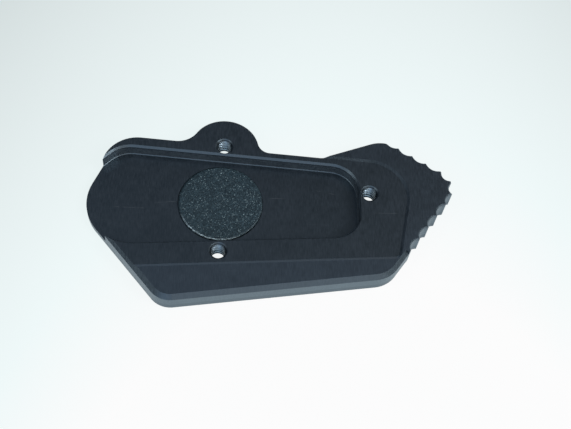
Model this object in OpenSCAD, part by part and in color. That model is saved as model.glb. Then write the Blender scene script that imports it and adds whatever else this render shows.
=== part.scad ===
// Foot enlarger for the side stand of a motorcycle. A flat aluminium plate with a
// tapered pocket for the stand's own foot, open at its wide left end, three tapped holes
// round the pocket, a wing with a row of shallow scallops, and a round grit pad bonded
// into the pocket floor. Millimetres, Z up, the origin under the pad's centre.

/* [Plate] */
// Height of the plate from the ground to its outer top face
plate_h = 6.8; // [6:0.1:9]
// Metal left between the ground and the pocket floor
floor_h = 2.3; // [2:0.1:3]
// How far the seat of the clamping plate lies below the outer top face
seat_drop = 0.35; // [0.2:0.05:0.6]
// Chamfer along the top of the front, the left and the smooth right edge
top_chamfer = 1.3; // [0.6:0.1:1.6]
// Small break along the bottom edge
bottom_break = 0.4; // [0.2:0.1:0.8]

/* [Edges of the plate] */
// Distance from the pad's centre to the front edge
front_reach = 31.7; // [30:0.1:34]
// Direction the front edge faces
front_dir = 278; // [274:1:282]
// Distance from the pad's centre to the slanted edge on the left of the front
slant_reach = 34.6; // [33:0.1:37]
// Direction the slanted edge faces
slant_dir = 219.7; // [216:0.1:224]
// Distance from the pad's centre to the short edge at the pocket's mouth
mouth_reach = 37.6; // [37:0.1:39]
// Direction the short mouth edge faces
mouth_dir = 156.6; // [154:0.1:159]
// Distance from the pad's centre to the right edge, plain near the front and then scalloped
right_reach = 54.8; // [54:0.1:56]
// Direction the right edge faces
right_dir = 324; // [323:0.1:325]
// Distance from the pad's centre to the scalloped far edge
far_reach = 45.2; // [43:0.05:48]
// Direction the scalloped far edge faces
far_dir = 57.8; // [55:0.1:60]
// Distance from the pad's centre to the line of the wing's plain edge
wing_reach = 3; // [2:0.1:4]
// Direction the wing's plain edge faces
wing_dir = 110.5; // [108:0.5:113]

/* [Corners of the plate] */
// Radius between the front and the slanted edge
front_left_r = 7; // [4:0.5:10]
// Radius between the front and the right edge
front_right_r = 9; // [5:0.5:12]
// Radius at the mouth end
mouth_r = 15; // [12:0.5:16]
// Radius of the rim's corner beside the mouth
rim_corner_r = 10.5; // [9:0.5:12]
// Radius of the wing's plain corner
wing_r = 9.5; // [5:0.5:11]
// Radius of the hollow corner between the rim and the wing
hollow_r = 4; // [2:0.5:7]
// Radius of the wing's nose
nose_r = 6.8; // [6:0.1:8]

/* [Scallops] */
// Distance from one scallop to the next along the right edge
tooth_pitch = 4.95; // [4.6:0.05:5]
// Depth of a scallop on the right edge
tooth_depth = 1.2; // [0.8:0.05:1.5]
// Scallops on the straight part of the right edge
tooth_scallops = 4; // [2:1:4]
// Distance from one scallop to the next along the far edge
far_pitch = 4.85; // [4.4:0.05:5]
// Depth of a scallop on the far edge
far_depth = 0.75; // [0.6:0.05:1.2]
// Scallops along the far edge, the last one on the wing's round corner
far_scallops = 4; // [1:1:4]
// Depth of a scallop on the nose, from its round outline
nose_depth = 1.15; // [0.8:0.05:1.4]
// Angle from one scallop to the next on the nose
nose_step = 36.5; // [35:0.5:39]
// Turn of the nose's middle scallop towards the right edge
nose_skew = 3; // [0:0.5:4]
// Shift of the straight rows round the nose, towards the far edge
nose_lead = 0.4; // [0.2:0.05:0.5]
// Flat left on the tips along the right edge
tooth_land = 0.2; // [0.1:0.05:0.5]
// Flat left on the tips along the far edge
far_land = 0.5; // [0.2:0.1:0.8]
// Chamfer along the top and the bottom of each scallop
scallop_chamfer = 0.3; // [0.2:0.05:0.4]

/* [Pocket] */
// Angle by which each long wall turns in towards the closed end
pocket_taper = 3.85; // [3:0.05:4.5]
// Distance from the pad's centre to each long wall
pocket_half = 14.5; // [13:0.1:15]
// Distance from the pad's centre to the closed end wall
pocket_end = 41.3; // [40:0.1:42]
// Radius of the closed corner on the far side
pocket_far_r = 8.7; // [6:0.1:11]
// Radius of the closed corner on the front side
pocket_front_r = 8; // [6:0.1:11]
// Radius with which the far wall curls in at the mouth
curl_far_r = 8.8; // [7:0.1:10]
// Radius with which the front wall curls in at the mouth
curl_front_r = 17; // [14:0.5:20]
// Chamfer round the top of the pocket
pocket_chamfer = 0.6; // [0.3:0.1:1]
// Bevel left at the foot of the pocket wall
foot_bevel = 0.2; // [0.2:0.1:0.6]

/* [Rim and ear] */
// Rim between the far wall and the edge, on the mouth side of the ear
rim_left_w = 3.4; // [3:0.1:4.5]
// Rim between the far wall and the edge, on the wing side of the ear
rim_right_w = 2.2; // [1.8:0.1:3]
// Radius of the ear round the far hole
ear_r = 10.4; // [9:0.1:11.5]
// Ear centre, measured along the pocket from the pad's centre
ear_x = 0.6; // [-3:0.1:4]
// Ear centre, measured across the pocket from the pad's centre
ear_y = 16.5; // [15.5:0.1:18]
// Radius between the ear and the rim on the mouth side
ear_left_r = 7; // [3:0.5:9]
// Radius between the ear and the rim on the wing side
ear_right_r = 4; // [1.5:0.5:6]

/* [Clamp seat] */
// Radius of the seat's corner round the hole at the closed end
seat_round_r = 11.9; // [11:0.1:13]
// Radius of the seat's front corner
seat_corner_r = 1.2; // [0.6:0.1:3]
// Distance from the pad's centre to the seat's right side
seat_right = 54.8; // [54:0.1:56]
// Direction the seat's right side faces
seat_right_dir = 349.3; // [347:0.1:352]
// Distance from the pad's centre to the seat's front side
seat_front = 21.8; // [21:0.1:24]
// Direction the seat's front side faces
seat_front_dir = 274; // [272:0.5:276]
// Width of the slope between the seat and the outer top face
seat_slope_w = 0.8; // [0.3:0.1:1.2]

/* [Tapped holes] */
// Diameter of the hole at the root of its thread
hole_d = 5; // [4:0.1:5.2]
// Diameter of the countersink at the top of a hole
sink_d = 5.6; // [5.4:0.1:6.2]
// Front hole, measured along the pocket
front_hole_x = -0.4; // [-4:0.1:4]
// Front hole, measured across the pocket
front_hole_y = -18.2; // [-19:0.1:-18]
// Far hole, measured along the pocket
far_hole_x = 0.5; // [-2:0.1:3]
// Far hole, measured across the pocket
far_hole_y = 17.6; // [17.5:0.1:19]
// End hole, measured along the pocket
end_hole_x = 44.6; // [44.5:0.1:46]
// End hole, measured across the pocket
end_hole_y = 2.8; // [0:0.1:4]

/* [Grip pad] */
// Diameter of the grit pad
pad_d = 25; // [20:0.5:26]
// Thickness of the grit pad
pad_t = 1.1; // [0.6:0.1:1.6]
// Depth of the round recess that the pad is bonded into
recess_depth = 0.8; // [0.4:0.1:1]
// Gap between the pad and the recess wall when the pad is central
pad_gap = 0.35; // [0.35:0.05:1]
// How far the recess lies off the pad's centre, in each direction
pad_shift = 0.2; // [0:0.05:0.2]

/* [View] */
// Piece to build: all, base_plate or grip_pad

/* [Hidden] */
$fn = 128;
// How far a cutter runs past the metal it cuts
over = 1;
// Overlap that joins neighbouring cutters
lap = 0.05;
// A rounded corner stands this proud of its straights, so that the two cross cleanly.
proud = 0.003;
// How far a straight cutter runs, and a rounded one swings, past the point of contact
run_on = 0.5;
swing = 6;
seat_z = plate_h - seat_drop;
plate_colour = [0.17, 0.2, 0.23];
pad_colour = [0.2, 0.26, 0.29];
full_turn = 360;
quarter = 90;

// An edge is [direction it faces, distance from the origin].
front_edge = [front_dir, front_reach];
slant_edge = [slant_dir, slant_reach];
mouth_edge = [mouth_dir, mouth_reach];
right_edge = [right_dir, right_reach];
right_edge_back = [right_dir - full_turn, right_reach];
far_edge = [far_dir, far_reach];
wing_edge = [wing_dir, wing_reach];
wall_dir = quarter - pocket_taper;
rim_left_edge = [wall_dir, pocket_half + rim_left_w];
rim_right_edge = [wall_dir, pocket_half + rim_right_w];
ear = [ear_x, ear_y];
rim_step_edge = [wall_dir - quarter, ear * heading(wall_dir - quarter)];

// The rows of scallops start where the nose meets its two straight edges.
nose_centre = arc_centre(right_edge_back, far_edge, nose_r);
nose_on_right = along(right_edge, nose_centre) + nose_lead;
nose_on_far = along(far_edge, nose_centre) + nose_lead;
row_end = nose_on_right - (tooth_scallops + 0.5) * tooth_pitch;
// Plain metal between the end of the top chamfer and the first scallop
chamfer_stop = 0.8;
nose_scallops = 3;
// Half the angle between the two nose scallops that lie closest together
nose_half = (nose_step - nose_skew) / 2;
nose_width = 2 * nose_r * sin(nose_half) - tooth_land;
nose_sink = nose_depth - nose_r * (1 - cos(nose_half));

// Edges in order round the plate, each with the radius of the corner that follows it.
plate_edges = [
    right_edge_back, far_edge, wing_edge, rim_right_edge, rim_step_edge, rim_left_edge,
    mouth_edge, slant_edge, front_edge, right_edge
];
plate_radii = [nose_r, wing_r, hollow_r, 0, 0, rim_corner_r, mouth_r, front_left_r, front_right_r];
// Places in that list: the bottom break starts on the rim's left part, the top chamfer
// on the mouth edge, and both end on the right edge
rim_side = 5;
mouth_side = 6;
right_side = 9;
plain_length = row_end - chamfer_stop
    - along(right_edge, arc_centre(front_edge, right_edge, front_right_r));
rim_length = along(rim_left_edge, arc_centre(rim_left_edge, mouth_edge, rim_corner_r))
    - along(rim_left_edge, web_hub(rim_left_edge, ear_left_r, 1));

// The walls curl in at the mouth and run out past the plate along two lines, each with
// the direction it faces and how far it lies beyond the long wall's own distance.
curl_far_dir = 135;
curl_far_out = 19.1;
curl_front_dir = -125;
curl_front_out = 16.3;
curl_far_edge = [curl_far_dir, pocket_half + curl_far_out];
curl_front_edge = [curl_front_dir, pocket_half + curl_front_out];
pocket_edges = [
    curl_front_edge, [pocket_taper - quarter, pocket_half], [0, pocket_end],
    [wall_dir, pocket_half], curl_far_edge, curl_front_edge + [full_turn, 0]
];
pocket_radii = [curl_front_r, pocket_front_r, pocket_far_r, curl_far_r, 0];
curl_far = 4;
// Length that a cutter keeps past the last rounded corner at the mouth
mouth_lead = 6;

// The seat is open to the left, where it runs out over the rim.
seat_left_edge = [180, mouth_reach + mouth_r];
seat_edges = [
    [seat_front_dir - full_turn, seat_front], [seat_right_dir - full_turn, seat_right],
    [wall_dir, pocket_half + rim_right_w + 2 * lap], seat_left_edge, [seat_front_dir, seat_front]
];
seat_radii = [seat_corner_r, seat_round_r, 0, 0];
seat_far_side = 2;
seat_span = seat_right + mouth_reach + mouth_r;

function heading(a) = [cos(a), sin(a)];
// Point where the lines of two edges meet
function meet(a, b) =
    [a[1] * sin(b[0]) - b[1] * sin(a[0]), b[1] * cos(a[0]) - a[1] * cos(b[0])]
    / sin(b[0] - a[0]);
// 1 where the outline bulges from edge a to edge b, -1 where it is hollow
function sense(a, b) = b[0] > a[0] ? 1 : -1;
function inset(e, r) = [e[0], e[1] - r];
function arc_centre(a, b, r) = meet(inset(a, sense(a, b) * r), inset(b, sense(a, b) * r));
function arc_start(a, b, r) = arc_centre(a, b, r) + sense(a, b) * r * heading(a[0]);
function arc_end(a, b, r) = arc_centre(a, b, r) + sense(a, b) * r * heading(b[0]);
// Place of a point along an edge
function along(e, p) = p * heading(e[0] + quarter);
// Centre of the hollow between the ear and a rim edge
function web_rise(edge, r) = edge[1] + r - ear * heading(edge[0]);
function web_hub(edge, r, side) = ear + web_rise(edge, r) * heading(edge[0])
    + side * sqrt(pow(ear_r + r, 2) - pow(web_rise(edge, r), 2)) * heading(edge[0] + quarter);
// Radius of the cutter that leaves a scallop of a set width and depth
function scallop_r(width, depth) = (pow(width / 2, 2) + pow(depth, 2)) / (2 * depth);

// Points of a closed chain of edges, cut across its bulging corners
function chain_points(edges, radii) = [
    for (i = [0 : len(radii) - 1])
        each radii[i] > 0 && sense(edges[i], edges[i + 1]) > 0
            ? [arc_start(edges[i], edges[i + 1], radii[i]), arc_end(edges[i], edges[i + 1], radii[i])]
            : [meet(edges[i], edges[i + 1])]
];

// Metal in a hollow corner, left by a round cutter
module hollow_web(points, hub, r, height) {
    difference() {
        linear_extrude(height) polygon(points);
        translate([hub[0], hub[1], -over]) cylinder(h = height + 2 * over, r = r + proud);
    }
}

// Upright solid inside a closed chain of edges, its corners rounded
module loop_solid(edges, radii, height) {
    linear_extrude(height) polygon(chain_points(edges, radii));
    for (i = [0 : len(radii) - 1]) {
        a = edges[i];
        b = edges[i + 1];
        hub = arc_centre(a, b, radii[i]);
        if (radii[i] > 0 && sense(a, b) > 0)
            translate(hub) rotate(a[0] - swing)
                rotate_extrude(angle = b[0] - a[0] + 2 * swing)
                    square([radii[i] + proud, height]);
        if (radii[i] > 0 && sense(a, b) < 0)
            hollow_web(
                [arc_start(a, b, radii[i]), arc_end(a, b, radii[i]), 2 * meet(a, b) - hub],
                hub, radii[i], height
            );
    }
}

// Sweeps a profile, given as [outwards, up], along edges first to last of a chain.
// Inside a loop the rounded pieces swing on, outside it the straight ones run on.
module sweep(edges, radii, first, last, lead, tail, inside) {
    extra = inside ? 0 : run_on;
    turn_on = inside ? swing : 0;
    for (i = [first : last]) {
        e = edges[i];
        from_corner = i == first ? 0 : along(e, arc_centre(edges[i - 1], e, radii[i - 1]));
        to_corner = i == last ? 0 : along(e, arc_centre(e, edges[i + 1], radii[i]));
        from = i == first ? to_corner - lead : from_corner - extra;
        to = i == last ? from_corner + tail : to_corner + extra;
        translate(e[1] * heading(e[0]) + to * heading(e[0] + quarter))
            rotate([quarter, 0, e[0]]) linear_extrude(to - from) children();
    }
    for (i = [first : last - 1])
        translate(arc_centre(edges[i], edges[i + 1], radii[i]))
            rotate(edges[i][0] - turn_on)
                rotate_extrude(angle = edges[i + 1][0] - edges[i][0] + 2 * turn_on)
                    translate([radii[i] + proud, 0]) children();
}

// The ear is a disc with a hollow web on each side that runs into the rim.
module ear_web(edge, r, side) {
    hub = web_hub(edge, r, side);
    foot = hub - r * heading(edge[0]);
    touch = ear + ear_r / (ear_r + r) * (hub - ear);
    inner = foot - ear_r / 2 * heading(edge[0]);
    hollow_web([ear, touch, foot, inner], hub, r, plate_h + 2 * over);
}

// Everything between two heights
module layer(low, high) {
    span = mouth_reach + right_reach + far_reach;
    translate([-span, -span, low]) cube([2 * span, 2 * span, high - low]);
}

module plate_body() {
    intersection() {
        translate([0, 0, -over]) {
            loop_solid(plate_edges, plate_radii, plate_h + 2 * over);
            translate(ear) cylinder(h = plate_h + 2 * over, r = ear_r);
            ear_web(rim_left_edge, ear_left_r, 1);
            ear_web(rim_right_edge, ear_right_r, -1);
        }
        layer(0, plate_h);
    }
}

module pocket() {
    intersection() {
        loop_solid(pocket_edges, pocket_radii, plate_h + 2 * over);
        layer(floor_h, plate_h + over);
    }
}

module foot_strip() {
    sweep(pocket_edges, pocket_radii, 0, curl_far, mouth_lead, mouth_lead, false)
        translate([0, floor_h])
            polygon([[-foot_bevel - lap, -lap], [lap, foot_bevel + lap], [lap, -lap]]);
}

module pocket_edge_cut() {
    sweep(pocket_edges, pocket_radii, 0, curl_far, mouth_lead, mouth_lead, true)
        translate([0, seat_z - pocket_chamfer])
            polygon([
                [-over, -over], [pocket_chamfer + over, pocket_chamfer + over],
                [-over, pocket_chamfer + over]
            ]);
}

module pad_recess() {
    translate([-pad_shift, -pad_shift, floor_h - recess_depth])
        cylinder(h = recess_depth + over, d = pad_d + 2 * pad_gap);
}

module seat_cut() {
    translate([0, 0, seat_z]) {
        loop_solid(
            [for (e = seat_edges) inset(e, lap)], [for (r = seat_radii) max(r - lap, 0)],
            seat_drop + over
        );
        // Clears the ear and the mouth side of the rim too
        rotate(-pocket_taper) translate([-seat_span / 2, 0, 0])
            cube([seat_span / 2 + ear_x + ear_r + ear_right_r, seat_span / 2, seat_drop + over]);
        sweep(seat_edges, seat_radii, 0, seat_far_side, seat_span, seat_span, true)
            polygon([
                [-4 * lap, 0], [0, 0], [2 * seat_slope_w, 2 * seat_drop], [-4 * lap, 2 * seat_drop]
            ]);
    }
}

module top_edge_cut() {
    sweep(plate_edges, plate_radii, mouth_side, right_side, mouth_lead, plain_length, false)
        translate([0, plate_h])
            polygon([
                [-top_chamfer - over, over], [over, -top_chamfer - over], [over, over]
            ]);
}

module bottom_edge_cut() {
    sweep(
        plate_edges, plate_radii, rim_side, right_side, rim_length - bottom_break,
        plain_length, false
    )
        polygon([[-bottom_break - over, -over], [over, -over], [over, bottom_break + over]]);
}

// Cutter of one scallop, flared at both ends for the chamfers
module scallop(r) {
    flare = scallop_chamfer + over;
    translate([0, 0, -over]) cylinder(h = plate_h + 2 * over, r = r);
    translate([0, 0, -over]) cylinder(h = flare, r1 = r + flare, r2 = r);
    translate([0, 0, plate_h - scallop_chamfer]) cylinder(h = flare, r1 = r, r2 = r + flare);
}

// A row of scallops along an edge, the first one centred at a place along it
module scallop_row(edge, start, step, count, depth, land) {
    r = scallop_r(abs(step) - land, depth);
    for (k = [0 : count - 1])
        translate((edge[1] + r - depth) * heading(edge[0])
            + (start + k * step) * heading(edge[0] + quarter))
            scallop(r);
}

module scallops() {
    scallop_row(
        far_edge, nose_on_far + far_pitch / 2, far_pitch, far_scallops, far_depth, far_land
    );
    scallop_row(
        right_edge, nose_on_right - tooth_pitch, -tooth_pitch, tooth_scallops, tooth_depth,
        tooth_land
    );
    r = scallop_r(nose_width, nose_sink);
    for (k = [0 : nose_scallops - 1]) {
        skew = k == 1 ? nose_skew : 0;
        translate(nose_centre
            + (nose_r - nose_depth + r) * heading(far_dir - (k + 0.5) * nose_step - skew))
            scallop(r);
    }
}

module tapped_hole(x, y) {
    sink = (sink_d - hole_d) / 2;
    translate([x, y, -over]) cylinder(h = plate_h + 2 * over, d = hole_d);
    translate([x, y, seat_z - sink])
        cylinder(h = sink + over, d1 = hole_d, d2 = sink_d + 2 * over);
}

module base_plate() {
    color(plate_colour)
    difference() {
        union() {
            difference() {
                plate_body();
                pocket();
            }
            intersection() {
                plate_body();
                foot_strip();
            }
        }
        pad_recess();
        seat_cut();
        pocket_edge_cut();
        top_edge_cut();
        bottom_edge_cut();
        scallops();
        tapped_hole(front_hole_x, front_hole_y);
        tapped_hole(far_hole_x, far_hole_y);
        tapped_hole(end_hole_x, end_hole_y);
    }
}

module grip_pad() {
    color(pad_colour)
    translate([0, 0, floor_h - recess_depth]) cylinder(h = pad_t, d = pad_d);
}

base_plate();
grip_pad();
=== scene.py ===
import bpy
import numpy as np
from mathutils import Matrix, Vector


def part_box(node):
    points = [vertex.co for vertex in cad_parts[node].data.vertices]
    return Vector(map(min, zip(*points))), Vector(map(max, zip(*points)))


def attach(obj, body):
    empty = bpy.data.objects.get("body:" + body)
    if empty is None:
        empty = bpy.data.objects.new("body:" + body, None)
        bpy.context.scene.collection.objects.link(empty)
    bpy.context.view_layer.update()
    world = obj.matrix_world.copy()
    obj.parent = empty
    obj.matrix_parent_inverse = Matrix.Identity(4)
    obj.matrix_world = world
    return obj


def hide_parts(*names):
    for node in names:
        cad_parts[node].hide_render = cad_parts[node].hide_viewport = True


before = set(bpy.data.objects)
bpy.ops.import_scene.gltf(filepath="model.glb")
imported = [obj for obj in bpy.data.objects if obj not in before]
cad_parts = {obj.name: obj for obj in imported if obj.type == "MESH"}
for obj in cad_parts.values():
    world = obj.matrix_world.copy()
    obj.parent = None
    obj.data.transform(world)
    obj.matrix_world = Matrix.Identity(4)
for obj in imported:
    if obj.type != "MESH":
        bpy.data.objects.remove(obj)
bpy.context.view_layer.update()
mm = 0.001
print("frame loaded:", sorted(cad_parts))


def addNode(tree, kind, settings=None, inputs=None):
    # one node; an input is a value, or a socket to link
    node = tree.nodes.new(kind)
    for key, value in (settings or {}).items():
        setattr(node, key, value)
    for key, value in (inputs or {}).items():
        if isinstance(value, bpy.types.NodeSocket):
            tree.links.new(value, node.inputs[key])
        else:
            node.inputs[key].default_value = value
    return node


def calculate(tree, operation, a, b=0.0, clamp=False):
    settings = {"operation": operation, "use_clamp": clamp}
    return addNode(tree, "ShaderNodeMath", settings, {0: a, 1: b}).outputs[0]


def multiply(tree, a, b):
    return calculate(tree, "MULTIPLY", a, b)


def remap(tree, value, fromLow, fromHigh, toLow=0.0, toHigh=1.0, curve="LINEAR"):
    settings = {"clamp": True, "interpolation_type": curve}
    return addNode(tree, "ShaderNodeMapRange", settings,
                   {"Value": value, "From Min": fromLow, "From Max": fromHigh,
                    "To Min": toLow, "To Max": toHigh}).outputs["Result"]


def within(tree, value, low, high, blend):
    # 1 between low and high, with the blend on either side of each
    return multiply(tree, remap(tree, value, low - blend, low + blend),
                    remap(tree, value, high + blend, high - blend))


def mixColours(tree, factor, first, second):
    node = addNode(tree, "ShaderNodeMix", {"data_type": "RGBA"}, {0: factor})
    for index, colour in ((6, first), (7, second)):
        if isinstance(colour, bpy.types.NodeSocket):
            tree.links.new(colour, node.inputs[index])
        else:
            node.inputs[index].default_value = (*colour, 1.0)
    return node.outputs[2]


def mixSurfaces(tree, factor, first, second):
    return addNode(tree, "ShaderNodeMixShader", None, {0: factor, 1: first, 2: second}).outputs[0]


def split(tree, vector):
    return addNode(tree, "ShaderNodeSeparateXYZ", None, {"Vector": vector}).outputs


def stretched(tree, vector, scale):
    settings = {"operation": "MULTIPLY"}
    return addNode(tree, "ShaderNodeVectorMath", settings, {0: vector, 1: scale}).outputs[0]


def noise(tree, vector, scale, detail, rough):
    return addNode(tree, "ShaderNodeTexNoise", None,
                   {"Vector": vector, "Scale": scale, "Detail": detail, "Roughness": rough}).outputs["Fac"]


def emptyMaterial(name):
    material = bpy.data.materials.new(name)
    material.use_nodes = True
    material.node_tree.nodes.clear()
    return material, material.node_tree


def newMaterial(name):
    # a Principled material, and the position on its piece in mm
    material, tree = emptyMaterial(name)
    shader = tree.nodes.new("ShaderNodeBsdfPrincipled")
    addNode(tree, "ShaderNodeOutputMaterial", None, {"Surface": shader.outputs[0]})
    spot = tree.nodes.new("ShaderNodeTexCoord").outputs["Object"]
    return material, tree, shader, stretched(tree, spot, (1 / mm, 1 / mm, 1 / mm))


def setShader(shader, values):
    for label, value in values.items():
        shader.inputs[label].default_value = value


def addBump(tree, shader, strength, distance, height):
    bump = addNode(tree, "ShaderNodeBump", None,
                   {"Strength": strength, "Distance": distance, "Height": height})
    tree.links.new(bump.outputs["Normal"], shader.inputs["Normal"])


def dress(node, material):
    node.data.materials.clear()
    node.data.materials.append(material)


def ringMesh(name, grid, caps):
    # grid[row, column] holds points; columns close into rings; the rows either close
    # into a loop, or end in a middle point at each end when caps is true
    rows, columns = grid.shape[:2]
    points = grid.reshape(-1, 3)
    count = rows - 1 if caps else rows
    i, j = np.meshgrid(np.arange(count), np.arange(columns), indexing="ij")
    nextRow, nextColumn = (i + 1) % rows, (j + 1) % columns
    quads = np.stack([i * columns + j, i * columns + nextColumn,
                      nextRow * columns + nextColumn, nextRow * columns + j], -1).reshape(-1, 4)
    corners = [quads[:, [0, 1, 2]], quads[:, [0, 2, 3]]]
    if caps:
        ring = np.arange(columns)
        after = (ring + 1) % columns
        start, end = len(points), len(points) + 1
        last = (rows - 1) * columns
        points = np.vstack([points, grid[0].mean(0), grid[-1].mean(0)])
        corners.append(np.stack([np.full(columns, start), after, ring], -1))
        corners.append(np.stack([np.full(columns, end), last + ring, last + after], -1))
    faces = np.vstack(corners)
    a, b, c = (points[faces[:, k]] for k in range(3))
    if (a * np.cross(b, c)).sum() < 0:  # the volume's sign shows which way the faces point
        faces = faces[:, ::-1]
    mesh = bpy.data.meshes.new(name)
    mesh.vertices.add(len(points))
    mesh.vertices.foreach_set("co", points.astype(np.float32).ravel())
    mesh.loops.add(faces.size)
    mesh.loops.foreach_set("vertex_index", faces.astype(np.int32).ravel())
    mesh.polygons.add(len(faces))
    mesh.polygons.foreach_set("loop_start", np.arange(0, faces.size, 3, dtype=np.int32))
    mesh.update(calc_edges=True)
    mesh.validate()
    piece = bpy.data.objects.new(name, mesh)
    bpy.context.scene.collection.objects.link(piece)
    return piece


grainLook = {
    # over a position in mm: the stretch along each axis; scale, detail and roughness
    "lineStretch": (3.6, 0.42, 0.9),
    "lines": (1.0, 2.5, 0.65),
    "clouds": (0.16, 3.0, 0.55),
    "scratchStretch": (0.07, 3.1, 1.0),
    "scratches": (1.0, 1.0, 0.4),
    "scratchEdge": (0.69, 0.78),  # only the noise's peaks above this edge are scratches
    "patchStretch": (0.1, 0.12, 0.1),
    "patches": (1.0, 1.0, 0.5),
    "patchEdge": (0.5, 0.65),
    "middle": 0.5,
}


def millGrainGroup(look):
    # fine lines of the mill along Y, soft clouds, and a few long hair scratches along X
    group = bpy.data.node_groups.new("millGrain", "ShaderNodeTree")
    for label, kind in (("Position", "NodeSocketVector"), ("Line Contrast", "NodeSocketFloat"),
                        ("Cloud Contrast", "NodeSocketFloat"), ("Scratch Amount", "NodeSocketFloat")):
        group.interface.new_socket(name=label, in_out="INPUT", socket_type=kind)
    for label in ("Tone", "Height"):
        group.interface.new_socket(name=label, in_out="OUTPUT", socket_type="NodeSocketFloat")
    given = group.nodes.new("NodeGroupInput").outputs
    result = group.nodes.new("NodeGroupOutput").inputs
    position, middle = given["Position"], look["middle"]
    lines = noise(group, stretched(group, position, look["lineStretch"]), *look["lines"])
    lineTone = multiply(group, calculate(group, "SUBTRACT", lines, middle), given["Line Contrast"])
    clouds = noise(group, position, *look["clouds"])
    cloudTone = multiply(group, calculate(group, "SUBTRACT", clouds, middle), given["Cloud Contrast"])
    hair = noise(group, stretched(group, position, look["scratchStretch"]), *look["scratches"])
    patch = noise(group, stretched(group, position, look["patchStretch"]), *look["patches"])
    scratch = multiply(group, remap(group, hair, *look["scratchEdge"]),
                       remap(group, patch, *look["patchEdge"]))
    scratch = multiply(group, scratch, given["Scratch Amount"])
    tone = calculate(group, "ADD", calculate(group, "ADD", lineTone, cloudTone), middle)
    group.links.new(calculate(group, "ADD", tone, scratch), result["Tone"])
    group.links.new(calculate(group, "SUBTRACT", lines, scratch), result["Height"])
    return group


millGrain = millGrainGroup(grainLook)

plateLook = {
    "dark": (0.0004, 0.0008, 0.0016),
    "light": (0.0185, 0.0222, 0.0285),
    "lines": 3.2,
    "clouds": 0.9,
    "scratches": 0.9,
    "rough": (0.34, 0.42),  # on the dark and on the light grain
    "bump": 0.4,
    "bumpDistance": 0.00004,
    "raised": (6.73, 6.78),  # mm; above these heights the outer top face is a shade lighter: a painted sheen
    "band": (-8.0, -15.0),  # mm along Y; past the second, on the front band, the painted sheen is full
    "wingShare": 0.4,  # its share before the first, on the wing
    "raisedSheenDark": (0.0120, 0.0160, 0.0240),
    "raisedSheenLight": (0.0290, 0.0390, 0.0530),
    "walls": (2.42, 5.44, 0.06),  # mm; the side-milled walls' low and high end, and the blend; between them the colour is lightened, a painted sheen
    "wallSheenColour": (0.068, 0.084, 0.094),
    # hairlines of wear, from (x, y) to (x, y) in mm
    "hairs": [(-20.1, -0.68, -11.8, 0.18), (14.3, 2.15, 19.8, 2.38), (30.7, 0.04, 32.5, -0.06),
              (28.5, 5.58, 35.8, 4.14), (44.6, -3.98, 53.3, -3.79), (-32.1, -2.55, -22.1, -2.65)],
    "hairColour": (0.075, 0.082, 0.090),
    "hairSides": (0.11, 0.03),  # mm from a hair's middle, where it begins and where it is full
    "hairEnds": 1.5,  # mm over which each end fades
    "hairPatches": (0.5, 2.0, 0.6),
    "hairPatchEdge": (0.35, 0.6),
    "shader": {"Metallic": 0.0, "IOR": 2.2, "Specular Tint": (0.64, 0.85, 1.0, 1.0)},
}


def hairlines(tree, inMm, look):
    # 1 along the middle of each hair, fading out to its sides and ends and in patches
    spot = split(tree, inMm)
    total = 0.0
    for x0, y0, x1, y1 in look["hairs"]:
        slope = (y1 - y0) / (x1 - x0)
        across = calculate(tree, "SUBTRACT", spot["Y"], y0 - slope * x0)
        across = calculate(tree, "SUBTRACT", across, multiply(tree, spot["X"], slope))
        near = remap(tree, calculate(tree, "ABSOLUTE", across), *look["hairSides"])
        along = multiply(tree, remap(tree, spot["X"], x0, x0 + look["hairEnds"]),
                         remap(tree, spot["X"], x1, x1 - look["hairEnds"]))
        total = calculate(tree, "ADD", multiply(tree, near, along), total)
    patches = remap(tree, noise(tree, inMm, *look["hairPatches"]), *look["hairPatchEdge"])
    return calculate(tree, "MULTIPLY", total, patches, clamp=True)


def plateMaterial(look):
    material, tree, shader, inMm = newMaterial("blackAnodisedAluminium")
    grain = addNode(tree, "ShaderNodeGroup", {"node_tree": millGrain},
                    {"Position": inMm, "Line Contrast": look["lines"],
                     "Cloud Contrast": look["clouds"], "Scratch Amount": look["scratches"]})
    tone, height = grain.outputs["Tone"], grain.outputs["Height"]
    spot = split(tree, inMm)
    colour = mixColours(tree, tone, look["dark"], look["light"])
    # painted sheen: the raised top face is lightened, fully on the front band and in part on the wing
    topSheenShare = multiply(tree, remap(tree, spot["Z"], *look["raised"]),
                     remap(tree, spot["Y"], *look["band"], look["wingShare"], 1.0))
    lighter = mixColours(tree, tone, look["raisedSheenDark"], look["raisedSheenLight"])
    colour = mixColours(tree, topSheenShare, colour, lighter)
    # painted sheen: the walls are lightened as if they mirrored the bright table
    wallSheen = mixColours(tree, tone, look["light"], look["wallSheenColour"])
    colour = mixColours(tree, within(tree, spot["Z"], *look["walls"]), colour, wallSheen)
    colour = mixColours(tree, hairlines(tree, inMm, look), colour, look["hairColour"])
    tree.links.new(colour, shader.inputs["Base Color"])
    tree.links.new(remap(tree, tone, 0.0, 1.0, *look["rough"]), shader.inputs["Roughness"])
    addBump(tree, shader, look["bump"], look["bumpDistance"], height)
    setShader(shader, look["shader"])
    return material


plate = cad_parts["base_plate"]
dress(plate, plateMaterial(plateLook))
print("plate dressed")


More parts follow.
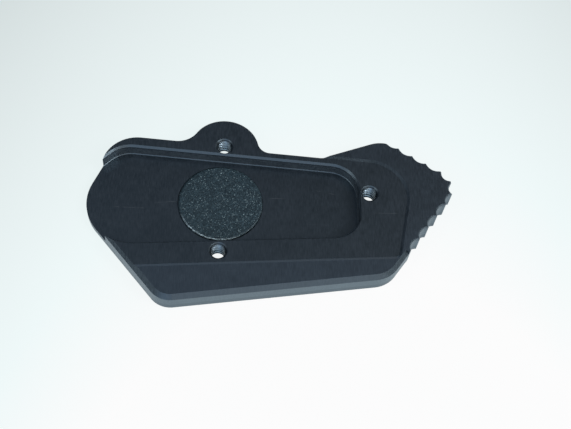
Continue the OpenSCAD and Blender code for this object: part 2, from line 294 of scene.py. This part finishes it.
threadLook = {
    # the sizes are in mm
    "places": {"threadFront": (-0.4, -18.2), "threadFar": (0.5, 17.6), "threadEnd": (44.6, 2.8)},
    "rootRadius": 2.46,
    "crestRadius": 2.10,
    "backRadius": 2.53,
    "backGap": 0.01,
    "pitch": 1.25,
    "ridgeSteepness": 1.5,
    "ridgeSink": 0.2,  # the part of a ridge's wave that is cut off at the root
    "low": 0.08,
    "high": 6.16,
    "columns": 96,
    "rows": 132,
    "highlightNarrow": 4,  # the larger, the narrower the painted highlight strip on the far side
    "anodised": (0.004, 0.007, 0.010),
    "dark": (0.17, 0.23, 0.28),
    "light": (0.44, 0.56, 0.66),
    "wear": (0.9, 2.0, 0.5),
    "bareHeights": (0.42, 5.86, 0.04),  # low and high end of the bare metal, and the blend
    "shader": {"IOR": 1.6, "Roughness": 0.30, "Specular Tint": (0.64, 0.85, 1.0, 1.0)},
}


def threadSleeve(name, place, look):
    # radius = root less the ridge's rise; the ridge is a blunt wave of z / pitch less the
    # turn; both ends open out in a cone at 45 degrees; the back is a plain cylinder
    root, crest, outer = look["rootRadius"], look["crestRadius"], look["backRadius"]
    low, high, columns = look["low"], look["high"], look["columns"]
    z = np.linspace(low, high, look["rows"])[:, None]
    turn = np.linspace(0, 1, columns, endpoint=False)[None, :]
    wave = 0.5 + 0.5 * np.cos(2 * np.pi * (z / look["pitch"] - turn))
    ridge = np.clip(look["ridgeSteepness"] * wave - look["ridgeSink"], 0, 1)
    inner = root - (root - crest) * ridge
    toEnd = np.minimum(z - low, high - z)
    inner = np.where(toEnd < outer - crest, outer - toEnd, inner)
    radius = np.vstack([inner, np.full((2, columns), outer + look["backGap"])])
    height = np.vstack([np.broadcast_to(z, inner.shape),
                        np.full((1, columns), high), np.full((1, columns), low)])
    angle = 2 * np.pi * np.broadcast_to(turn, radius.shape)
    grid = np.stack([place[0] + radius * np.cos(angle), place[1] + radius * np.sin(angle), height], -1) * mm
    sleeve = ringMesh(name, grid, caps=False)
    # painted highlight: the bare silver is kept to a strip on the far side of the hole, where the light
    # shines back, and the sides stay black as painted shade
    farSideHighlight = np.clip(np.sin(angle), 0, 1) ** look["highlightNarrow"]
    share = sleeve.data.attributes.new("farSideHighlight", "FLOAT", "POINT")
    share.data.foreach_set("value", farSideHighlight.astype(np.float32).ravel())
    return sleeve


def threadMaterial(look):
    # bare metal between the two cones, kept to the far-side strip as a painted highlight; black elsewhere,
    # which on the sides of the hole is painted shade
    material, tree, shader, inMm = newMaterial("bareThreadMetal")
    bareHighlight = within(tree, split(tree, inMm)["Z"], *look["bareHeights"])
    farSideHighlight = addNode(tree, "ShaderNodeAttribute", {"attribute_name": "farSideHighlight"}).outputs["Fac"]
    bareHighlight = multiply(tree, bareHighlight, farSideHighlight)
    silver = mixColours(tree, noise(tree, inMm, *look["wear"]), look["dark"], look["light"])
    tree.links.new(mixColours(tree, bareHighlight, look["anodised"], silver), shader.inputs["Base Color"])
    tree.links.new(bareHighlight, shader.inputs["Metallic"])
    setShader(shader, look["shader"])
    return material


threadMetal = threadMaterial(threadLook)
for name, place in threadLook["places"].items():
    sleeve = threadSleeve(name, place, threadLook)
    sleeve.data.shade_smooth()
    sleeve.data.materials.append(threadMetal)
    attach(sleeve, "root")
print("threads cut")


padLook = {
    # the sizes are in mm
    "bed": 0.10,  # how far below the pad's top the binder lies
    "coarseCell": 0.55,
    "fineCell": 0.30,
    "coarseRise": 0.09,
    "fineRise": 0.06,
    "edgeRound": 0.34,  # the rim's width that is rounded off, and how far it drops
    "edgeDrop": 0.16,
    "sideDrop": 0.1,  # from there to where the side begins
    "footSpread": 0.30,
    "footTowards": 150,  # degrees; where the bond fills most of the gap to the recess wall
    "underShare": 0.5,  # of the foot's radius, for the ring on the underside
    "firstRing": 0.002,  # of the radius
    "columns": 480,
    "rows": 84,
    "seed": 11,
    "shift": 50,  # between the pad's middle and the grain pattern's origin
    "repeat": 64,  # the pattern starts again after this many cells
    "grainWidth": (0.45, 0.4),  # the least, and what chance adds, in cells
    "grainHeight": (0.45, 0.55),
    "grainBlunt": 0.6,
    "grainTilt": 0.5,
    "cell": 3.9,  # coloured grains per mm
    "dark": (0.010, 0.023, 0.032),
    "middle": (0.085, 0.150, 0.185),
    "middlePower": 1.6,
    "clouds": (0.7, 3.0, 0.6),
    "bright": (0.24, 0.33, 0.36),
    "brightFrom": 0.92,
    # pale colour of the painted highlight on the pad's near edge
    "side": (0.72, 0.92, 1.0),
    "sideBelow": (2.52, 2.48),  # mm; the cut side of the pad shows below these heights
    "highlightTowards": (-0.35, -0.94, 0.0),  # the near side of the pad, where its cut edge carries a painted highlight
    "highlightFrom": (8.0, 11.5),  # mm that way
    "highlightDots": (1.6, 2.0, 0.6),
    "highlightDotEdge": (0.38, 0.56),
    "rough": (0.35, 0.65),
    "fine": (5.0, 2.0, 0.6),
    "bump": 0.5,
    "bumpDistance": 0.0001,
    "shader": {"Metallic": 0.0, "IOR": 1.6, "Specular Tint": (0.8, 0.93, 1.0, 1.0)},
}


def grains(x, y, cell, look, rng):
    # tallest of the nine nearest grains; a grain is a blunt dome with its own place,
    # width and height, tilted a little
    size, lean = look["repeat"], look["grainTilt"]
    table = rng.random((size, size, 6))
    leastWidth, moreWidth = look["grainWidth"]
    leastHeight, moreHeight = look["grainHeight"]
    i, j = np.floor(x / cell).astype(int), np.floor(y / cell).astype(int)
    best = np.zeros_like(x)
    for stepX in (-1, 0, 1):
        for stepY in (-1, 0, 1):
            own = table[(i + stepX) % size, (j + stepY) % size]
            dx = x / cell - (i + stepX + own[..., 0])
            dy = y / cell - (j + stepY + own[..., 1])
            width = leastWidth + moreWidth * own[..., 2]
            dome = np.clip(1 - (dx ** 2 + dy ** 2) / width ** 2, 0, 1) ** look["grainBlunt"]
            tilt = 1 + lean * (own[..., 4] - 0.5) * dx + lean * (own[..., 5] - 0.5) * dy
            best = np.maximum(best, dome * tilt * (leastHeight + moreHeight * own[..., 3]))
    return best


def gritPad(name, look):
    # rings out from the middle: the top is the binder's level plus the grains, rounded
    # off near the rim; then the side goes down, its foot spread by the bond on one side,
    # and the bottom comes back in
    low, high = (np.array(corner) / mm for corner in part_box("grip_pad"))
    middle, radius = (low[:2] + high[:2]) / 2, (high[0] - low[0]) / 2
    rng = np.random.default_rng(look["seed"])
    columns, shift = look["columns"], look["shift"]
    spread = np.linspace(look["firstRing"], 1.0, look["rows"])[:, None] * radius
    angle = np.linspace(0, 2 * np.pi, columns, endpoint=False)[None, :]
    x, y = spread * np.cos(angle) + shift, spread * np.sin(angle) + shift
    coarse = grains(x, y, look["coarseCell"], look, rng)
    fine = grains(x, y, look["fineCell"], look, rng)
    rise = np.minimum(coarse * look["coarseRise"] + fine * look["fineRise"], look["bed"])
    edge = np.clip((radius - spread) / look["edgeRound"], 0, 1)
    top = high[2] - look["bed"] + rise * edge - (1 - edge) ** 2 * look["edgeDrop"]
    sideTop = high[2] - look["bed"] - look["edgeDrop"] - look["sideDrop"]
    towards = np.clip(np.cos(angle - np.radians(look["footTowards"])), 0, 1) ** 2
    foot = radius + look["footSpread"] * towards
    allSpread = np.vstack([np.broadcast_to(spread, top.shape), foot, foot, foot * look["underShare"]])
    height = np.vstack([top, np.full((1, columns), sideTop), np.full((2, columns), low[2])])
    turn = np.broadcast_to(angle, height.shape)
    x, y = middle[0] + allSpread * np.cos(turn), middle[1] + allSpread * np.sin(turn)
    return ringMesh(name, np.stack([x, y, height], -1) * mm, caps=True)


def gritMaterial(look):
    # each cell is a grain with its own tone; a few are bright; the cut edge on the near side is pale, a
    # painted highlight
    material, tree, shader, inMm = newMaterial("bondedGrit")
    cells = addNode(tree, "ShaderNodeTexVoronoi", None,
                    {"Vector": inMm, "Scale": look["cell"], "Randomness": 1.0})
    chance = addNode(tree, "ShaderNodeSeparateColor", None, {"Color": cells.outputs["Color"]}).outputs
    tone = calculate(tree, "POWER", chance["Red"], look["middlePower"])
    tone = multiply(tree, tone, noise(tree, inMm, *look["clouds"]))
    body = mixColours(tree, tone, look["dark"], look["middle"])
    body = mixColours(tree, remap(tree, chance["Green"], look["brightFrom"], 1.0), body, look["bright"])
    # painted highlight: pale dots on the cut edge of the near side
    towards = addNode(tree, "ShaderNodeVectorMath", {"operation": "DOT_PRODUCT"},
                      {0: inMm, 1: look["highlightTowards"]}).outputs["Value"]
    spots = remap(tree, noise(tree, inMm, *look["highlightDots"]), *look["highlightDotEdge"])
    edgeHighlight = multiply(tree, remap(tree, towards, *look["highlightFrom"]), spots)
    edgeHighlight = multiply(tree, edgeHighlight, remap(tree, split(tree, inMm)["Z"], *look["sideBelow"]))
    tree.links.new(mixColours(tree, edgeHighlight, body, look["side"]), shader.inputs["Base Color"])
    tree.links.new(remap(tree, chance["Blue"], 0.0, 1.0, *look["rough"]), shader.inputs["Roughness"])
    addBump(tree, shader, look["bump"], look["bumpDistance"], noise(tree, inMm, *look["fine"]))
    setShader(shader, look["shader"])
    return material


pad = gritPad("gritPad", padLook)
pad.data.shade_smooth()
pad.data.materials.append(gritMaterial(padLook))
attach(pad, "root")
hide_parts("grip_pad")
print("grit pad spread")


tableLook = {
    "size": 6.0,
    "plain": (0.80, 0.83, 0.84),
    # the shown brightness is a hill: level at the pad, slopes and bends per metre
    "level": 1.002,
    "slope": (0.95, -1.25),
    "bend": (-11.9, -2.2),
    "colours": [(0.74, (0.672, 0.740, 0.742)), (0.97, (0.888, 0.970, 0.972)), (1.04, (1.0, 1.0, 1.0))],
    "fade": (0.14, 0.38),  # m from the pad; between these the hill fades into the far colour
    "farColour": (0.80, 0.88, 0.89),
    "shown": 0.92,  # share of the shown colour that no shadow darkens
    "mirrored": (0.86, 0.96, 1.0),  # tint of the table where the plate mirrors it
}


def tableMaterial(look):
    # the camera sees the hill, the plate mirrors an even tint, and the light that the
    # table throws back comes from a plain pale surface
    material, tree = emptyMaterial("paleTable")
    spot = tree.nodes.new("ShaderNodeTexCoord").outputs["Object"]
    parts = split(tree, spot)
    level = look["level"]
    for axis, slope, bend in zip("XY", look["slope"], look["bend"]):
        steepness = calculate(tree, "ADD", multiply(tree, parts[axis], bend), slope)
        level = calculate(tree, "ADD", multiply(tree, parts[axis], steepness), level)
    (low, lowColour), (middle, middleColour), (high, highColour) = look["colours"]
    colour = mixColours(tree, remap(tree, level, low, middle), lowColour, middleColour)
    colour = mixColours(tree, remap(tree, level, middle, high), colour, highColour)
    away = addNode(tree, "ShaderNodeVectorMath", {"operation": "LENGTH"}, {0: spot}).outputs["Value"]
    colour = mixColours(tree, remap(tree, away, *look["fade"], curve="SMOOTHSTEP"), colour, look["farColour"])
    glow = addNode(tree, "ShaderNodeEmission", None, {"Color": colour, "Strength": 1.0}).outputs[0]
    lit = addNode(tree, "ShaderNodeBsdfDiffuse", None, {"Color": colour}).outputs[0]
    shown = mixSurfaces(tree, 1 - look["shown"], glow, lit)
    plain = addNode(tree, "ShaderNodeBsdfDiffuse", None, {"Color": (*look["plain"], 1.0)}).outputs[0]
    mirror = addNode(tree, "ShaderNodeEmission", None,
                     {"Color": (*look["mirrored"], 1.0), "Strength": 1.0}).outputs[0]
    path = tree.nodes.new("ShaderNodeLightPath").outputs
    inMirror = calculate(tree, "MAXIMUM", path["Is Glossy Ray"], path["Is Transmission Ray"])
    surface = mixSurfaces(tree, path["Is Camera Ray"], plain, shown)
    surface = mixSurfaces(tree, inMirror, surface, mirror)
    addNode(tree, "ShaderNodeOutputMaterial", None, {"Surface": surface})
    return material


half = tableLook["size"] / 2
tableCorners = [(-half, -half, 0), (half, -half, 0), (half, half, 0), (-half, half, 0)]
tableMesh = bpy.data.meshes.new("table")
tableMesh.from_pydata(tableCorners, [], [(0, 1, 2, 3)])
table = bpy.data.objects.new("table", tableMesh)
bpy.context.scene.collection.objects.link(table)
tableMesh.materials.append(tableMaterial(tableLook))

worldLook = {
    # brightness of the room by how far a direction leans from the near side to the far side
    "stops": [(0.0, 0.58), (0.04, 0.64), (0.08, 1.25), (0.20, 0.22), (0.35, 0.10), (0.58, 0.18),
              (0.71, 0.41), (0.75, 0.13), (0.79, 0.06), (0.88, 0.08), (0.94, 0.25), (0.98, 0.72)],
    "leftTint": (0.80, 0.94, 1.14),
    "rightTint": (0.82, 0.79, 0.80),
    "tintLeans": (-0.06, 0.16),
    # the near side, full between these leans, brightens from left to right
    "nearSide": (0.3, 0.0),
    "nearSideLeans": (-0.1, 0.1),
    "nearSideShares": (0.85, 1.15),
    # on the far side it falls away to the left between these leans
    "leftEdge": (-0.65, -0.25),
    "leftShare": 0.3,
    "shown": (0.80, 0.88, 0.89),  # what the camera sees past the table
}


def buildWorld(look):
    world = bpy.data.worlds.new("softRoom")
    bpy.context.scene.world = world
    world.use_nodes = True
    tree = world.node_tree
    tree.nodes.clear()
    lean = split(tree, tree.nodes.new("ShaderNodeTexCoord").outputs["Generated"])
    ramp = tree.nodes.new("ShaderNodeValToRGB")
    band = ramp.color_ramp
    while len(band.elements) < len(look["stops"]):
        band.elements.new(0.5)
    for element, (spot, level) in zip(band.elements, look["stops"]):
        element.position = spot
        element.color = (level, level, level, 1.0)
    tree.links.new(remap(tree, lean["Y"], -1.0, 1.0), ramp.inputs[0])
    leftward = remap(tree, lean["X"], *look["leftEdge"], look["leftShare"], 1.0)
    nearSide = multiply(tree, remap(tree, lean["Y"], *look["nearSide"]),
                        remap(tree, lean["X"], *look["nearSideLeans"], *look["nearSideShares"]))
    strength = multiply(tree, calculate(tree, "MAXIMUM", leftward, nearSide), ramp.outputs["Color"])
    tint = mixColours(tree, remap(tree, lean["X"], *look["tintLeans"]), look["leftTint"], look["rightTint"])
    room = addNode(tree, "ShaderNodeBackground", None, {"Color": tint, "Strength": strength}).outputs[0]
    shown = addNode(tree, "ShaderNodeBackground", None,
                    {"Color": (*look["shown"], 1.0), "Strength": 1.0}).outputs[0]
    path = tree.nodes.new("ShaderNodeLightPath").outputs
    surface = mixSurfaces(tree, path["Is Camera Ray"], room, shown)
    addNode(tree, "ShaderNodeOutputWorld", None, {"Surface": surface})


buildWorld(worldLook)

lampLook = {
    # soft square panels that face the pad: place in m, and watts
    "panels": {"rightPanel": ((0.75, -0.31, 0.75), 5.2),
               "leftPanel": ((-0.75, -0.31, 0.75), 2.4),
               "backPanel": ((0.88, 0.55, 0.38), 0.5)},
    "size": 0.5,
}


def addPanel(name, spot, watts, size):
    data = bpy.data.lights.new(name, "AREA")
    data.size = size
    data.energy = watts
    lamp = bpy.data.objects.new(name, data)
    bpy.context.scene.collection.objects.link(lamp)
    back = spot / np.linalg.norm(spot)
    side = np.cross((0.0, 0.0, 1.0), back)
    side /= np.linalg.norm(side)
    turn = np.eye(4)
    turn[:3, 0], turn[:3, 1], turn[:3, 2], turn[:3, 3] = side, np.cross(back, side), back, spot
    lamp.matrix_world = Matrix(turn.tolist())


for name, (spot, watts) in lampLook["panels"].items():
    addPanel(name, np.array(spot), watts, lampLook["size"])
print("table and light set")


cameraLook = {
    "spot": (-0.000967, -0.14982, 0.26375),
    "right": (0.9970, -0.0026, 0.0770),
    "up": (-0.0353, 0.8731, 0.4864),
    "back": (-0.0685, -0.4876, 0.8704),
    "lens": 63.05,
    "sensor": 36.0,
    "nudge": 0.5 / 571,  # half a pixel
    "clip": (0.005, 20.0),
}

cameraData = bpy.data.cameras.new("camera")
cameraData.lens = cameraLook["lens"]
cameraData.sensor_width = cameraLook["sensor"]
cameraData.sensor_fit = "HORIZONTAL"
cameraData.shift_x = -cameraLook["nudge"]
cameraData.shift_y = cameraLook["nudge"]
cameraData.clip_start, cameraData.clip_end = cameraLook["clip"]
camera = bpy.data.objects.new("camera", cameraData)
bpy.context.scene.collection.objects.link(camera)
axes = [cameraLook[key] for key in ("right", "up", "back", "spot")]
rows = [[axis[k] for axis in axes] for k in range(3)] + [[0.0, 0.0, 0.0, 1.0]]
camera.matrix_world = Matrix(rows)
bpy.context.scene.camera = camera
bpy.context.scene.view_settings.view_transform = "Standard"
